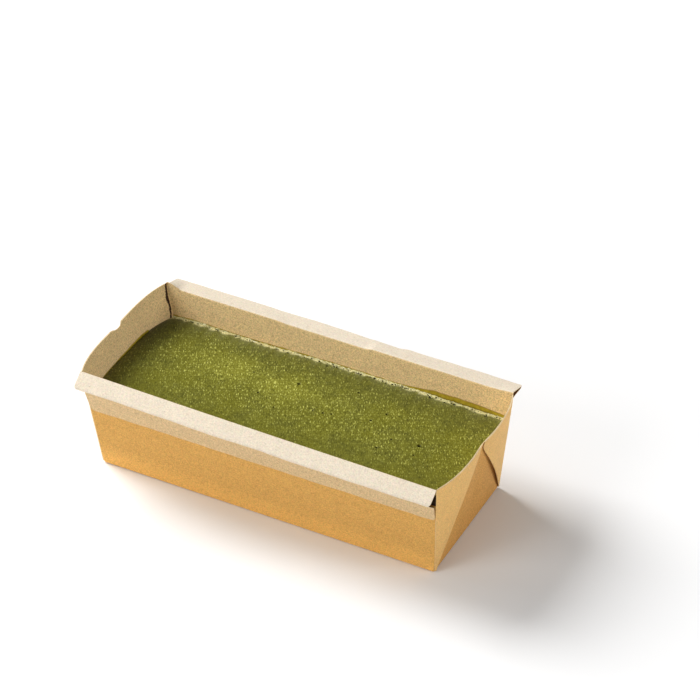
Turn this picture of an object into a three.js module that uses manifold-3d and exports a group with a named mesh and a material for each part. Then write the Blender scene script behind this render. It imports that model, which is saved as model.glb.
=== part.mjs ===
// A matcha terrine baked in a folded kraft-paper loaf case.
// Millimetres, +Z up. The origin is the middle of the case's underside, +X runs along the
// loaf and +Y from its front wall to its back wall.

import * as THREE from "three";
import { mergeVertices } from "three/addons/utils/BufferGeometryUtils.js";
import Module from "manifold-3d";

const wasm = await Module();
wasm.setup();

// ---------------------------------------------------------------- driving dimensions

const BASE_LENGTH = 160;
const BASE_WIDTH = 62.3;
const CASE_HEIGHT = 50.3;
const PAPER = 0.5;
const CORNER_ROUNDING = 0.9;

// The rim's four corners: the folds pulled the rim slightly out of square.
const RIM_CORNERS = {
  frontLeft: new THREE.Vector2(-86.3, -34.7),
  frontRight: new THREE.Vector2(83.5, -36.9),
  backRight: new THREE.Vector2(84.2, 34.9),
  backLeft: new THREE.Vector2(-83.7, 35.4),
};

// The end panels belly outwards towards the rim. The right one has a shallow hollow where
// its two flaps meet.
const END_BOW = { left: 4.3, right: 4.4 };
const END_BOW_SHARPNESS = 3.6;
const END_HOLLOW = { left: 0.2, right: 0.8 };
const END_HOLLOW_REACH = 6;
const LONG_WALL_BOW = 0.3;

// A notch in the left end's top edge: a ramp from the front, a level floor, a sharp step.
const NOTCH_DEPTH = 1.7;
const NOTCH_RAMP_FROM = -10.5;
const NOTCH_RAMP_TO = -3.5;
const NOTCH_STEP = 4.3;

// Each long wall's top is folded outwards and down into a cuff. A place in a cuff's section
// is given outwards from the wall and down from the rim: the cuff's outer edge, its heel,
// where it comes back to the wall, and its hem, whose depth differs at the two ends. The
// cuff starts and stops short of the case's corners.
const CUFFS = {
  front: { edge: [6.1, 4.5], heel: [1.1, 9.4], hemLeft: 19.2, hemRight: 16.6, start: 0, stop: 0.7 },
  back: { edge: [7.9, 1.8], heel: [1.3, 9], hemLeft: 12.8, hemRight: 12.4, start: 1, stop: 0.2 },
};
const FOLD_RADIUS = 0.8;
const CUFF_CORNER_RADIUS = 1.8;

// Four double-thickness gusset flaps are folded flat over the outside of the end panels.
// Each lifts off the panel towards its slanting free edge.
const GUSSET_THICKNESS = 0.8;
const GUSSET_BITE = 0.2;
const GUSSET_LOWEST = 1.5;
const GUSSET_TIP_RADIUS = 2.2;
const GUSSET_LIFT = { frontLeft: 0.5, frontRight: 0.35, backRight: 1.3, backLeft: 0.6 };

// The terrine fills the case to about three quarters of its height.
const TERRINE_TOP = 36.7;
const TERRINE_CROWN = 0.5;
const TERRINE_EDGE_DROP = 0.9;
const TERRINE_EDGE_REACH = 3;
const CLEARANCE = 0.3;

// ---------------------------------------------------------------- small helpers

const lerp = THREE.MathUtils.lerp;
const clamp = THREE.MathUtils.clamp;

/** A closed solid from shared points and triangles, given as arrays of numbers. */
function solid(points, triangles) {
  const mesh = new wasm.Mesh({
    numProp: 3,
    vertProperties: new Float32Array(points),
    triVerts: new Uint32Array(triangles),
  });
  return new wasm.Manifold(mesh);
}

/** A closed solid from an indexed or plain three.js geometry. */
function solidFromGeometry(geometry) {
  const bare = geometry.clone();
  bare.deleteAttribute("normal");
  bare.deleteAttribute("uv");
  const merged = mergeVertices(bare, 1e-4);
  return solid(merged.getAttribute("position").array, merged.getIndex().array);
}

/** A three.js geometry with flat faces from a finished solid. */
function geometryFromSolid(body) {
  const mesh = body.getMesh();
  const geometry = new THREE.BufferGeometry();
  geometry.setAttribute("position", new THREE.BufferAttribute(mesh.vertProperties, 3));
  geometry.setIndex(new THREE.BufferAttribute(mesh.triVerts, 1));
  geometry.computeVertexNormals();
  return geometry;
}

/** Joins the rows of a grid of points with two triangles to each cell. */
function stitch(triangles, rowA, rowB, closed, flip) {
  const last = closed ? rowA.length : rowA.length - 1;
  for (let i = 0; i < last; i += 1) {
    const j = (i + 1) % rowA.length;
    const quad = [rowA[i], rowA[j], rowB[j], rowB[i]];
    if (flip) quad.reverse();
    triangles.push(quad[0], quad[1], quad[2], quad[0], quad[2], quad[3]);
  }
}

/** Stacks closed rings of points, anticlockwise from above, into a solid with flat ends. */
function loft(rings) {
  const points = [];
  const triangles = [];
  const rows = rings.map((ring) => ring.map((p) => points.push(p.x, p.y, p.z) / 3 - 1));
  for (let k = 0; k + 1 < rows.length; k += 1) stitch(triangles, rows[k], rows[k + 1], true, false);
  const ends = [[rings[0], rows[0], true], [rings.at(-1), rows.at(-1), false]];
  for (const [ring, row, faceDown] of ends) {
    const flat = ring.map((p) => new THREE.Vector2(p.x, p.y));
    for (const [a, b, c] of THREE.ShapeUtils.triangulateShape(flat, [])) {
      triangles.push(row[a], faceDown ? row[c] : row[b], faceDown ? row[b] : row[c]);
    }
  }
  return solid(points, triangles);
}

/** Gives a curved sheet, a grid of points on its middle surface, a thickness. */
function thickSheet(grid, thickness) {
  const points = [];
  const front = [];
  const back = [];
  const across = new THREE.Vector3();
  const along = new THREE.Vector3();
  const normal = new THREE.Vector3();
  grid.forEach((row, i) => {
    front.push([]);
    back.push([]);
    row.forEach((p, j) => {
      const before = grid[Math.max(i - 1, 0)][j];
      const after = grid[Math.min(i + 1, grid.length - 1)][j];
      along.subVectors(after, before);
      across.subVectors(row[Math.min(j + 1, row.length - 1)], row[Math.max(j - 1, 0)]);
      normal.crossVectors(along, across).setLength(thickness / 2);
      front[i].push(points.push(p.x + normal.x, p.y + normal.y, p.z + normal.z) / 3 - 1);
      back[i].push(points.push(p.x - normal.x, p.y - normal.y, p.z - normal.z) / 3 - 1);
    });
  });
  const triangles = [];
  for (let i = 0; i + 1 < grid.length; i += 1) {
    stitch(triangles, front[i], front[i + 1], false, true);
    stitch(triangles, back[i], back[i + 1], false, false);
  }
  const column = (side, j) => side.map((row) => row[j]);
  const lastRow = grid.length - 1;
  const lastColumn = grid[0].length - 1;
  stitch(triangles, front[0], back[0], false, false);
  stitch(triangles, front[lastRow], back[lastRow], false, true);
  stitch(triangles, column(front, 0), column(back, 0), false, true);
  stitch(triangles, column(front, lastColumn), column(back, lastColumn), false, false);
  const body = solid(points, triangles);
  return body.volume() < 0 ? solid(points, flipped(triangles)) : body;
}

/** The same triangles facing the other way. */
function flipped(triangles) {
  const turned = [];
  for (let i = 0; i < triangles.length; i += 3) {
    turned.push(triangles[i], triangles[i + 2], triangles[i + 1]);
  }
  return turned;
}

/** Moves each point of a closed anticlockwise outline inwards by a distance. */
function inset(outline, distance) {
  return outline.map((p, i) => {
    const before = outline.at(i - 1);
    const after = outline[(i + 1) % outline.length];
    const a = new THREE.Vector2(before.y - p.y, p.x - before.x).normalize();
    const b = new THREE.Vector2(p.y - after.y, after.x - p.x).normalize();
    const inward = a.add(b).normalize();
    return new THREE.Vector2(p.x + inward.x * distance, p.y + inward.y * distance);
  });
}

// ---------------------------------------------------------------- the case's form

/** A corner of the case at a height: it leans outwards from the base to the rim. */
function corner(name, z) {
  const rim = RIM_CORNERS[name];
  const rise = z / CASE_HEIGHT;
  const baseX = (Math.sign(rim.x) * BASE_LENGTH) / 2;
  const baseY = (Math.sign(rim.y) * BASE_WIDTH) / 2;
  return new THREE.Vector2(lerp(baseX, rim.x, rise), lerp(baseY, rim.y, rise));
}

/** How far an end panel bellies out at a fraction t of its width. */
function endBelly(end, t, z) {
  const belly = END_BOW[end] * (1 - Math.abs(2 * t - 1) ** END_BOW_SHARPNESS);
  const fromMiddle = ((t - 0.5) * BASE_WIDTH) / END_HOLLOW_REACH;
  const hollow = END_HOLLOW[end] * Math.exp(-fromMiddle * fromMiddle);
  return (belly - hollow) * (z / CASE_HEIGHT);
}

/** A point of an end panel's outside: t runs from 0 at its front corner to 1 at its back. */
function endPoint(end, t, z) {
  const front = corner(end === "left" ? "frontLeft" : "frontRight", z);
  const back = corner(end === "left" ? "backLeft" : "backRight", z);
  const outwards = end === "left" ? -1 : 1;
  const x = lerp(front.x, back.x, t) + outwards * endBelly(end, t, z);
  return new THREE.Vector2(x, lerp(front.y, back.y, t));
}

/** A point of a long wall's outside: t runs from 0 at its left corner to 1 at its right. */
function wallPoint(wall, t, z) {
  const left = corner(wall === "front" ? "frontLeft" : "backLeft", z);
  const right = corner(wall === "front" ? "frontRight" : "backRight", z);
  const outwards = wall === "front" ? -1 : 1;
  const bow = LONG_WALL_BOW * Math.sin(Math.PI * t) * (z / CASE_HEIGHT);
  return new THREE.Vector2(lerp(left.x, right.x, t), lerp(left.y, right.y, t) + outwards * bow);
}

/** The case's outside outline at a height, anticlockwise from its front left corner. */
function caseOutline(z) {
  const wallSteps = 10;
  const endSteps = 14;
  const wallMargin = CORNER_ROUNDING / BASE_LENGTH;
  const endMargin = CORNER_ROUNDING / BASE_WIDTH;
  const outline = [];
  const side = (pointAt, steps, margin, forwards) => {
    for (let i = 0; i <= steps; i += 1) {
      const t = lerp(margin, 1 - margin, i / steps);
      outline.push(pointAt(forwards ? t : 1 - t));
    }
  };
  side((t) => wallPoint("front", t, z), wallSteps, wallMargin, true);
  side((t) => endPoint("right", t, z), endSteps, endMargin, true);
  side((t) => wallPoint("back", t, z), wallSteps, wallMargin, false);
  side((t) => endPoint("left", t, z), endSteps, endMargin, false);
  return outline;
}

/** The open tray: bottom, two long walls and two end panels. */
function tray() {
  const levels = [0, 12, 25, 38, CASE_HEIGHT];
  const at = (outline, z) => outline.map((p) => new THREE.Vector3(p.x, p.y, z));
  const outside = levels.map((z) => at(caseOutline(z), z));
  const insideLevels = [PAPER, ...levels.slice(1), CASE_HEIGHT + 5];
  const inside = insideLevels.map((z) => at(inset(caseOutline(z), PAPER), z));
  return loft(outside).subtract(loft(inside));
}

/** What is cut out of the left end's top edge, through every layer there. */
function notch() {
  const above = CASE_HEIGHT + 2;
  const profile = new THREE.Shape([
    new THREE.Vector2(NOTCH_RAMP_FROM, above),
    new THREE.Vector2(NOTCH_RAMP_FROM, CASE_HEIGHT),
    new THREE.Vector2(NOTCH_RAMP_TO, CASE_HEIGHT - NOTCH_DEPTH),
    new THREE.Vector2(NOTCH_STEP, CASE_HEIGHT - NOTCH_DEPTH),
    new THREE.Vector2(NOTCH_STEP, above),
  ]);
  const length = 20;
  const block = new THREE.ExtrudeGeometry(profile, { depth: length, bevelEnabled: false });
  block.rotateX(Math.PI / 2);
  block.rotateZ(Math.PI / 2);
  block.translate(-BASE_LENGTH / 2 - length, 0, 0);
  return solidFromGeometry(block);
}

// ---------------------------------------------------------------- cuffs

/** A path through points, each (outwards, down), with its bends rounded. */
function roundedPath(stops, radius) {
  const path = new THREE.CurvePath();
  let from = stops[0];
  for (let i = 1; i + 1 < stops.length; i += 1) {
    const bend = stops[i];
    const before = bend.clone().lerp(stops[i - 1], radius / bend.distanceTo(stops[i - 1]));
    const after = bend.clone().lerp(stops[i + 1], radius / bend.distanceTo(stops[i + 1]));
    path.add(new THREE.LineCurve(from, before));
    path.add(new THREE.QuadraticBezierCurve(before, bend, after));
    from = after;
  }
  path.add(new THREE.LineCurve(from, stops.at(-1)));
  return path;
}

/** The points of a cuff's section at a fraction t of its length, from inside the wall's
 * top round to its hem. */
function cuffSection(size, t) {
  const stops = [
    new THREE.Vector2(-PAPER / 2, 3),
    new THREE.Vector2(-PAPER / 2, PAPER / 2),
    new THREE.Vector2(...size.edge),
    new THREE.Vector2(...size.heel),
    new THREE.Vector2(PAPER / 2 - 0.1, lerp(size.hemLeft, size.hemRight, t)),
  ];
  const section = [];
  for (const part of roundedPath(stops, FOLD_RADIUS).curves) {
    const steps = part instanceof THREE.LineCurve ? 2 : 3;
    section.push(...part.getPoints(steps).slice(section.length ? 1 : 0));
  }
  return section;
}

/** How far a cuff's end is drawn in at a place in its section, which rounds the corners at
 * its outer edge and its hem. */
function cuffEndTrim(place, size, hem) {
  const fromEdge = Math.hypot(place.x - size.edge[0], place.y - size.edge[1]);
  const near = clamp(Math.min(fromEdge, hem - place.y) / CUFF_CORNER_RADIUS, 0, 1);
  return CUFF_CORNER_RADIUS * (1 - Math.sqrt(1 - (1 - near) ** 2));
}

/** A cuff: the long wall's folded top, a three-sided tube that is open at both ends. */
function cuff(wall) {
  const size = CUFFS[wall];
  const outwards = wall === "front" ? -1 : 1;
  const steps = 16;
  const grid = [];
  for (let i = 0; i <= steps; i += 1) {
    const t = i / steps;
    const hem = lerp(size.hemLeft, size.hemRight, t);
    const row = cuffSection(size, t).map((place) => {
      const z = CASE_HEIGHT - place.y;
      const foot = wallPoint(wall, t, z);
      const trim = cuffEndTrim(place, size, hem);
      const drawnIn = lerp(size.start + trim, -size.stop - trim, t);
      return new THREE.Vector3(foot.x + drawnIn, foot.y + outwards * place.x, z);
    });
    grid.push(row);
  }
  return thickSheet(grid, PAPER);
}

// ---------------------------------------------------------------- gusset flaps

/** A gusset flap: a triangle from the case's upright corner to a slanting free edge that
 * runs from the bottom corner to the middle of the end's top edge. */
function gusset(name) {
  const end = name.endsWith("Left") ? "left" : "right";
  const outwards = end === "left" ? -1 : 1;
  const fromFront = name.startsWith("front");
  const rows = 9;
  const columns = 7;
  const grid = [];
  for (let i = 0; i <= rows; i += 1) {
    const z = lerp(GUSSET_LOWEST, CASE_HEIGHT - 0.1, i / rows);
    const tip = Math.max(0, z - (CASE_HEIGHT - GUSSET_TIP_RADIUS)) / GUSSET_TIP_RADIUS;
    const rounding = GUSSET_TIP_RADIUS * (1 - Math.sqrt(1 - tip * tip));
    const width = 0.5 * (z / CASE_HEIGHT) - rounding / BASE_WIDTH;
    const row = [];
    for (let j = 0; j <= columns; j += 1) {
      const across = j / columns;
      const t = lerp(CORNER_ROUNDING / BASE_WIDTH, width, across);
      const foot = endPoint(end, fromFront ? t : 1 - t, z);
      const swell = Math.sin(Math.PI * lerp(0.1, 0.95, z / CASE_HEIGHT));
      const lift = GUSSET_LIFT[name] * across ** 2 * swell;
      const standing = GUSSET_THICKNESS / 2 - GUSSET_BITE + lift;
      row.push(new THREE.Vector3(foot.x + outwards * standing, foot.y, z));
    }
    grid.push(row);
  }
  return thickSheet(grid, GUSSET_THICKNESS);
}

/** The whole case is one folded sheet, so it is one solid. */
function paperCase() {
  let body = tray();
  for (const wall of Object.keys(CUFFS)) body = body.add(cuff(wall));
  for (const name of Object.keys(GUSSET_LIFT)) body = body.add(gusset(name));
  return geometryFromSolid(body.subtract(notch()));
}

// ---------------------------------------------------------------- terrine

/** The height of the terrine's top: a faint crown that sinks a little at the paper. */
function terrineTop(x, y, toEdge) {
  const crown = Math.cos((Math.PI * x) / BASE_LENGTH) * Math.cos((Math.PI * y) / (2 * BASE_WIDTH));
  const drop = TERRINE_EDGE_DROP * Math.exp(-toEdge / TERRINE_EDGE_REACH);
  return TERRINE_TOP + TERRINE_CROWN * crown - drop;
}

/** The terrine, standing on its own base plane: walls that follow the case, then
 * shrinking rings that carry the top inwards. */
function terrine() {
  const skin = PAPER + CLEARANCE;
  const rings = [];
  for (const z of [skin, 12, 25]) {
    rings.push(inset(caseOutline(z), skin).map((p) => new THREE.Vector3(p.x, p.y, z - skin)));
  }
  const rim = inset(caseOutline(TERRINE_TOP), skin);
  for (const toEdge of [0, 1, 2.5, 5, 10, 18, 27]) {
    rings.push(
      rim.map((p) => {
        const x = p.x * (1 - toEdge / (BASE_LENGTH / 2));
        const y = p.y * (1 - toEdge / (BASE_WIDTH / 2));
        return new THREE.Vector3(x, y, terrineTop(x, y, toEdge) - skin);
      }),
    );
  }
  return geometryFromSolid(loft(rings));
}

// ---------------------------------------------------------------- the model

const kraft = new THREE.MeshStandardMaterial({ color: "#d19e58", roughness: 0.9, metalness: 0 });
const matcha = new THREE.MeshStandardMaterial({ color: "#7c7a30", roughness: 0.4, metalness: 0 });

const model = new THREE.Group();

const caseMesh = new THREE.Mesh(paperCase(), kraft);
caseMesh.name = "paper_case";
model.add(caseMesh);

const terrineMesh = new THREE.Mesh(terrine(), matcha);
terrineMesh.name = "terrine";
terrineMesh.position.z = PAPER + CLEARANCE;
model.add(terrineMesh);

export default model;
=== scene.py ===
"""A matcha terrine in its folded kraft-paper loaf case.

Metres throughout, in the part's own frame: the origin is the middle of the case's underside,
+X runs along the loaf, +Y from the front wall to the back wall and +Z up. The paper case and
the terrine are remodelled here as fine meshes on the same driving dimensions as the solids.
"""

import itertools
import math

import bmesh
import bpy
import numpy as np
from mathutils import Matrix, Vector


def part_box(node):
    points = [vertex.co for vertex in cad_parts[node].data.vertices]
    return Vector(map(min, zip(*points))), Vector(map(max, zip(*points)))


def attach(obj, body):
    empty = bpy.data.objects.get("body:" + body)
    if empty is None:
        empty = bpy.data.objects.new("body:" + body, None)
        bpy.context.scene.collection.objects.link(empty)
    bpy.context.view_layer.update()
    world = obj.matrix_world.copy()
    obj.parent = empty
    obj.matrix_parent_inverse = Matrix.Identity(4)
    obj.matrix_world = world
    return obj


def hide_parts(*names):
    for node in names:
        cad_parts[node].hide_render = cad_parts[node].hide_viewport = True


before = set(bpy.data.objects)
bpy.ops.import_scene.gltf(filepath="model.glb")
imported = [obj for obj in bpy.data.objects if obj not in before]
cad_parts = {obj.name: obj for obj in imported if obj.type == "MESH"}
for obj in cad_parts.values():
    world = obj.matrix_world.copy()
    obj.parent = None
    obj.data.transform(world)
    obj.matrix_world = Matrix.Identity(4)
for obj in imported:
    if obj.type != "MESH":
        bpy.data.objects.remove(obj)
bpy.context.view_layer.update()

# ------ driving dimensions

MM = 0.001


def mm(*lengths):
    return tuple(length * MM for length in lengths)


BASE_LENGTH = 160 * MM
BASE_WIDTH = 62.3 * MM
CASE_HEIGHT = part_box("paper_case")[1].z
PAPER = 0.32 * MM
CREASE_RADIUS = 0.55 * MM
# Which way, along x or y, each side of the case faces.
OUTWARDS = {"front": -1, "back": 1, "left": -1, "right": 1}

RIM_CORNERS = {
    "front_left": mm(-86.3, -34.7),
    "front_right": mm(83.1, -36.9),
    "back_right": mm(84.2, 34.9),
    "back_left": mm(-83.7, 35.4),
}
END_BOW = {"left": 4.3 * MM, "right": 4.4 * MM}
END_BOW_SHARPNESS = 3.6
END_HOLLOW = {"left": 0.2 * MM, "right": 0.8 * MM}
END_HOLLOW_REACH = 6 * MM
LONG_WALL_BOW = 0.3 * MM
# The fold at the base: a height, and how far the paper is tucked in there.
BASE_FOLD = ((0, 0.6 * MM), mm(0.07, 0.3), mm(0.25, 0.1), (0.6 * MM, 0))

NOTCH_DEPTH = 1.8 * MM
NOTCH_RAMP = mm(-5.6, 0.2)
NOTCH_STEP = mm(2.7, 3.1)
# The left end's top edge climbs towards the back corner, and the back wall comes down again.
RISE_HEIGHT = 1.75 * MM
RISE_ALONG_END = mm(-8, 35)
RISE_ALONG_WALL = mm(-84, -77)
# Above this fraction of the height the paper follows its rim up and down.
RIM_ZONE = 0.7
# How far a long wall ends below its fold, wherever x is less than this many times y.
WALL_TOP_GAP = 1.25 * MM
WALL_TOP_SPAN = 2.2

# Waves in a surface: the size, the height and the seed of each.
PAPER_BUCKLES = ((26 * MM, 0.22 * MM, 3), (11 * MM, 0.08 * MM, 4))
PAPER_CRUMPLE = (2.6 * MM, 0.018 * MM, 5)
RIM_WAVES = (7 * MM, 0.12 * MM, 8)
# The buckles grow up to this fraction of the case's height, and fade towards the rim.
BUCKLE_FOOT = 0.25
BUCKLE_FADE = 6
BUCKLE_AT_RIM = 0.1

# A cuff's section, outwards from the wall and down from the rim, with the hem at its left and
# right. Its ends reach past the wall's corners at the crest, outer edge, heel and hem. Then
# come, in millimetres, places along the wall with how much higher the crest, how much wider
# the strip and how much higher the heel is there.
CUFFS = {
    "front": {
        "edge": mm(6.3, 4.7),
        "heel": mm(1.1, 9.8),
        "hem": mm(20.4, 18.2),
        "left_end": mm(0.5, 1.4, 0.2, -0.3),
        "right_end": mm(0.4, 0.4, 0.0, 0.0),
        "crest": ((-86, 0.5), (84, 0.6)),
        "flare": ((-86, 0), (-60, 0.1), (-20, 0.2), (10, 0), (50, 0.3), (70, 0.1), (84, -0.3)),
        "pinch": ((0, 0),),
    },
    "back": {
        "edge": mm(7.9, 1.8),
        "heel": mm(1.1, 5.0),
        "hem": mm(12.8, 12.0),
        "left_end": mm(-0.4, 0.0, -0.8, -1.0),
        "right_end": mm(0.3, 0.6, 0.2, 0.0),
        "crest": (
            (-84, -0.2), (-30, -0.3), (-25, -0.7), (13, -0.7),
            (17, 0.1), (70, 0.1), (77, 0.3), (84, 1.1),
        ),
        "flare": ((-84, 1), (-20, 0.8), (15, 0.5), (26, 0), (30, 1.1), (76, 1.4), (84, 1.4)),
        "pinch": ((-84, 0.6), (-70, 0), (62, 0), (84, 2.3)),
    },
}
CUFF_FOOT = 3.4 * MM
CUFF_FOOT_SINK = 0.12 * MM
CUFF_CREST_STANDS_IN = 0.03 * MM
CUFF_HEM_TUCK = 0.1 * MM
FOLD_RADIUS = 0.8 * MM
CUFF_CORNER_RADIUS = 1.5 * MM
CUFF_FLAP_LENGTH = 8 * MM
CUFF_SWAY = ((14 * MM, 0.2 * MM, 11), (4 * MM, 0.1 * MM, 13))
CUFF_LIFT = (17 * MM, 0.15 * MM, 17)
CUFF_CRUMPLE = (2.4 * MM, 0.02 * MM, 21)
HEM_WAVES = (5 * MM, 0.16 * MM, 23)

GUSSET_THICKNESS = 0.46 * MM
GUSSET_RIM_THICKNESS = 0.24 * MM
GUSSET_SPAN = (0.8 * MM, CASE_HEIGHT - 0.05 * MM)
GUSSET_START = 0.12 * MM
# How far a gusset stands off the end panel: at its folded edge, and where it puffs out.
GUSSET_LIFT = {
    "front_left": mm(0.3, 0.3),
    "front_right": mm(0.0, 0.7),
    "back_right": mm(1.3, 0.1),
    "back_left": mm(0.5, 0.2),
}
GUSSET_WAVES = (16 * MM, 0.1 * MM, 31)
# A gusset's folded edge: its height and its distance from the corner, as fractions.
LEFT_GUSSET_EDGE = ((0, 0.004), (0.93, 0.466), (0.975, 0.475), (1, 0.458))
GUSSET_EDGES = {
    "front_left": LEFT_GUSSET_EDGE,
    "front_right": ((0, 0.008), (0.1, 0.075), (0.22, 0.15), (0.4, 0.232), (0.63, 0.335), (1, 0.5)),
    "back_right": (
        (0, 0.004), (0.2, 0.112), (0.36, 0.2), (0.61, 0.335),
        (0.86, 0.458), (0.93, 0.487), (0.965, 0.496), (1, 0.474),
    ),
    "back_left": LEFT_GUSSET_EDGE,
}

# The slits inside the corners, their faces painted dark for the shade in them: how wide and
# deep they are, and where they are fully open.
SLIT_WIDTH = dict.fromkeys(RIM_CORNERS, 0.7 * MM) | {"back_left": 1.25 * MM}
SLIT_DEPTH = 0.62 * MM
SLIT_OPEN = 6 * MM
SLIT_WAVES = (4 * MM, 0.4, 9)
# How near a corner, along x and y, its slit reaches, and how near a wall a place is on it.
SLIT_NEAR = mm(2, 3)
ON_WALL = 0.02 * MM
# The paper inside the back left corner leans in by this much, this far down from the rim.
CORNER_LEAN = 2.2 * MM
CORNER_LEAN_DEPTH = 14 * MM
CORNER_LEAN_REACH = 16 * MM

TERRINE_TOP = 36.6 * MM
TERRINE_FLOOR = PAPER + 0.3 * MM
# How far the terrine's top goes into the paper, and how far its sides stand off it.
TERRINE_OVERLAP = 0.12 * MM
TERRINE_SIDE_GAP = 0.3 * MM
# The height of the terrine's top along each side of the case, in millimetres: a place, and
# the height there. The top levels out within the reach.
EDGE_HEIGHTS = {
    "front": ((-84, 35.6), (84, 36.0)),
    "back": (
        (-84, 35.6), (-70, 36.3), (-59, 35.9), (-40, 35.8), (-24, 36.2),
        (-2, 37.0), (40, 37.1), (56, 36.7), (84, 36.8),
    ),
    "left": ((-34, 34.4), (-18, 34.9), (-5, 35.4), (10, 35.4), (22, 34.9), (34, 34.6)),
    "right": ((-34, 35.9), (34, 36.1)),
}
EDGE_REACH = {"front": 1.2 * MM, "back": 2.2 * MM, "left": 2.4 * MM, "right": 1.2 * MM}
TOP_WAVES = (
    (15 * MM, 0.1 * MM, 41), (5 * MM, 0.05 * MM, 42),
    (1.7 * MM, 0.03 * MM, 43), (0.8 * MM, 0.024 * MM, 44),
)
RAGGED_WAVES = (1.0 * MM, 0.32 * MM, 45)
RAGGED_REACH = 0.5 * MM
# The froth along the back wall, with its painted sheen: its reach at the left and at the right,
# and where it changes.
FOAM_SHEEN_REACH = mm(2.5, 1.65)
FOAM_SHEEN_CHANGE = mm(-60, -5)
FOAM_SHEEN_STREAKS = (1.6 * MM, 0.35, 46)
# The reach and strength of the painted shade along the left end and the back wall, for the
# shadows that they cast on the top. The left one is weak in front and wide at the back.
EDGE_SHADE_LEFT = 10 * MM
EDGE_SHADE_LEFT_WEAK = 0.3
EDGE_SHADE_LEFT_GROWS = mm(-12, 26)
EDGE_SHADE_LEFT_WIDER = 1.3
EDGE_SHADE_LEFT_WIDENS = mm(10, 24)
EDGE_SHADE_BACK = 7 * MM
EDGE_SHADE_STRENGTH = {"left": 0.78, "back": 0.3}
# The middle and the reach, along x and y, of the part of the top with the most bubbles and
# painted glints.
FIZZ_AND_GLINT_MIDDLE = mm(-26, 9)
FIZZ_AND_GLINT_REACH = mm(40, 15)
FIZZ_AND_GLINT_WAVES = (9 * MM, 0.15, 48)
# The share of bubbles and painted glints away from that part, and the share of those that
# stays in front, where they thin out between two places.
FIZZ_AND_GLINT_LEAST = 0.6
CALM_SHARE = 0.42
CALM_FRONT = mm(-30, -2)

# Burst bubbles in the terrine's top, in millimetres: x, y and radius.
PORES = (
    (-8.1, 15.0, 0.6), (56.9, 0.8, 0.74), (57.9, 32.7, 0.7), (32.9, 33.0, 0.62),
    (-70.2, 32.6, 0.55), (31.0, 6.8, 0.5), (41.4, -8.3, 0.52), (44.4, -0.6, 0.42),
    (35.2, 13.4, 0.48), (10.4, 2.1, 0.48), (14.0, 2.9, 0.46), (-20.8, 1.8, 0.42),
    (-10.2, -4.0, 0.4), (5.8, 1.5, 0.32), (17.8, 21.1, 0.4), (57.6, -5.8, 0.34),
    (59.1, 12.8, 0.32), (-29.2, 13.4, 0.36),
)
# How deep a pore is and how high its lip, in radii.
PORE_DEPTH = 1.5
PORE_LIP = 0.1
# Small pits and bubbles of froth along the back wall: their count, the seed of their places,
# their spread from the wall and their least and greatest radius.
PIT_COUNT = 110
PIT_SEED = 19
PIT_GAP = 0.7
PIT_RADIUS = (0.2, 0.48)
FROTH_COUNT = 1700
FROTH_SEED = 7
FROTH_GAP = 0.6
FROTH_RADIUS = (0.12, 0.26)

# The top edge of the oily film on each side, in millimetres: a place, and the height there.
OIL_FILMS = {
    "back": (
        (-83, 36.1), (-70, 36.75), (-59, 36.4), (-40, 36.3), (-24, 36.7), (-2, 37.45),
        (31, 37.5), (37.8, 38.1), (44.6, 38.9), (48, 39.5), (51.4, 39.2), (58.2, 39.4),
        (65, 39.4), (71.8, 39.2), (80.2, 38.4), (83.4, 38.0),
    ),
    "left": ((-33, 34.8), (-18, 35.4), (-5, 36.0), (10, 36.4), (22, 36.1), (34, 35.6)),
    "right": ((0, 36.1), (20, 36.7), (34.4, 37.4)),
}
OIL_THICKNESS = 0.16 * MM
OIL_UNDER_TOP = 0.9 * MM
OIL_STAND_OFF = 0.03 * MM
OIL_WAVES = (2.2 * MM, 0.12 * MM, 51)

# The top's fleck pattern, partly painted glints, runs this way: stretched, and turned about the
# upright.
GRAIN_STRETCH = (1, 2.6, 1)
GRAIN_TURN = math.radians(27)
# Each kind of fleck: the size of its cells, its radius, how rare it is and its strength.
MATCHA_FLECK_GLINTS = (
    (0.58 * MM, 0.27 * MM, 0.45, 0.9),
    (1.05 * MM, 0.36 * MM, 0.46, 1.35),
)


def srgb(red, green, blue):
    """A linear colour from the 0 to 255 values that a screen shows."""
    linear = []
    for value in (red, green, blue):
        value /= 255
        linear.append(value / 12.92 if value <= 0.04045 else ((value + 0.055) / 1.055) ** 2.4)
    return (*linear, 1)


MATCHA_DEEP = srgb(93, 92, 30)
MATCHA = srgb(112, 111, 37)
MATCHA_LIGHT = srgb(128, 126, 41)
MATCHA_WARM = srgb(108, 106, 28)
MATCHA_DARK = srgb(66, 65, 14)
MATCHA_PALE = srgb(159, 159, 68)
# Painted glints: the flecks' pale colour stands partly for small highlights on the bubbles.
MATCHA_FLECK_GLINT = srgb(204, 204, 103)
MATCHA_SHADE = srgb(45, 51, 26)
# Painted reflection: a grey veil over the froth along the back wall.
MATCHA_REFLECTION = srgb(150, 152, 105)
# The froth's pale colour, with a painted highlight.
MATCHA_FOAM_HIGHLIGHT = srgb(244, 238, 176)
# Painted shade: pores are coloured nearly black for the shade inside them.
MATCHA_PORE_SHADE = srgb(26, 24, 8)

# ------ the camera

CAMERA_PLACE = (0.5829, -1.0661, 1.0183)
CAMERA_AZIMUTH = 27.63
CAMERA_ELEVATION = 38.03
CAMERA_ROLL = -0.49
CAMERA_LENS = 188.1


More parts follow.
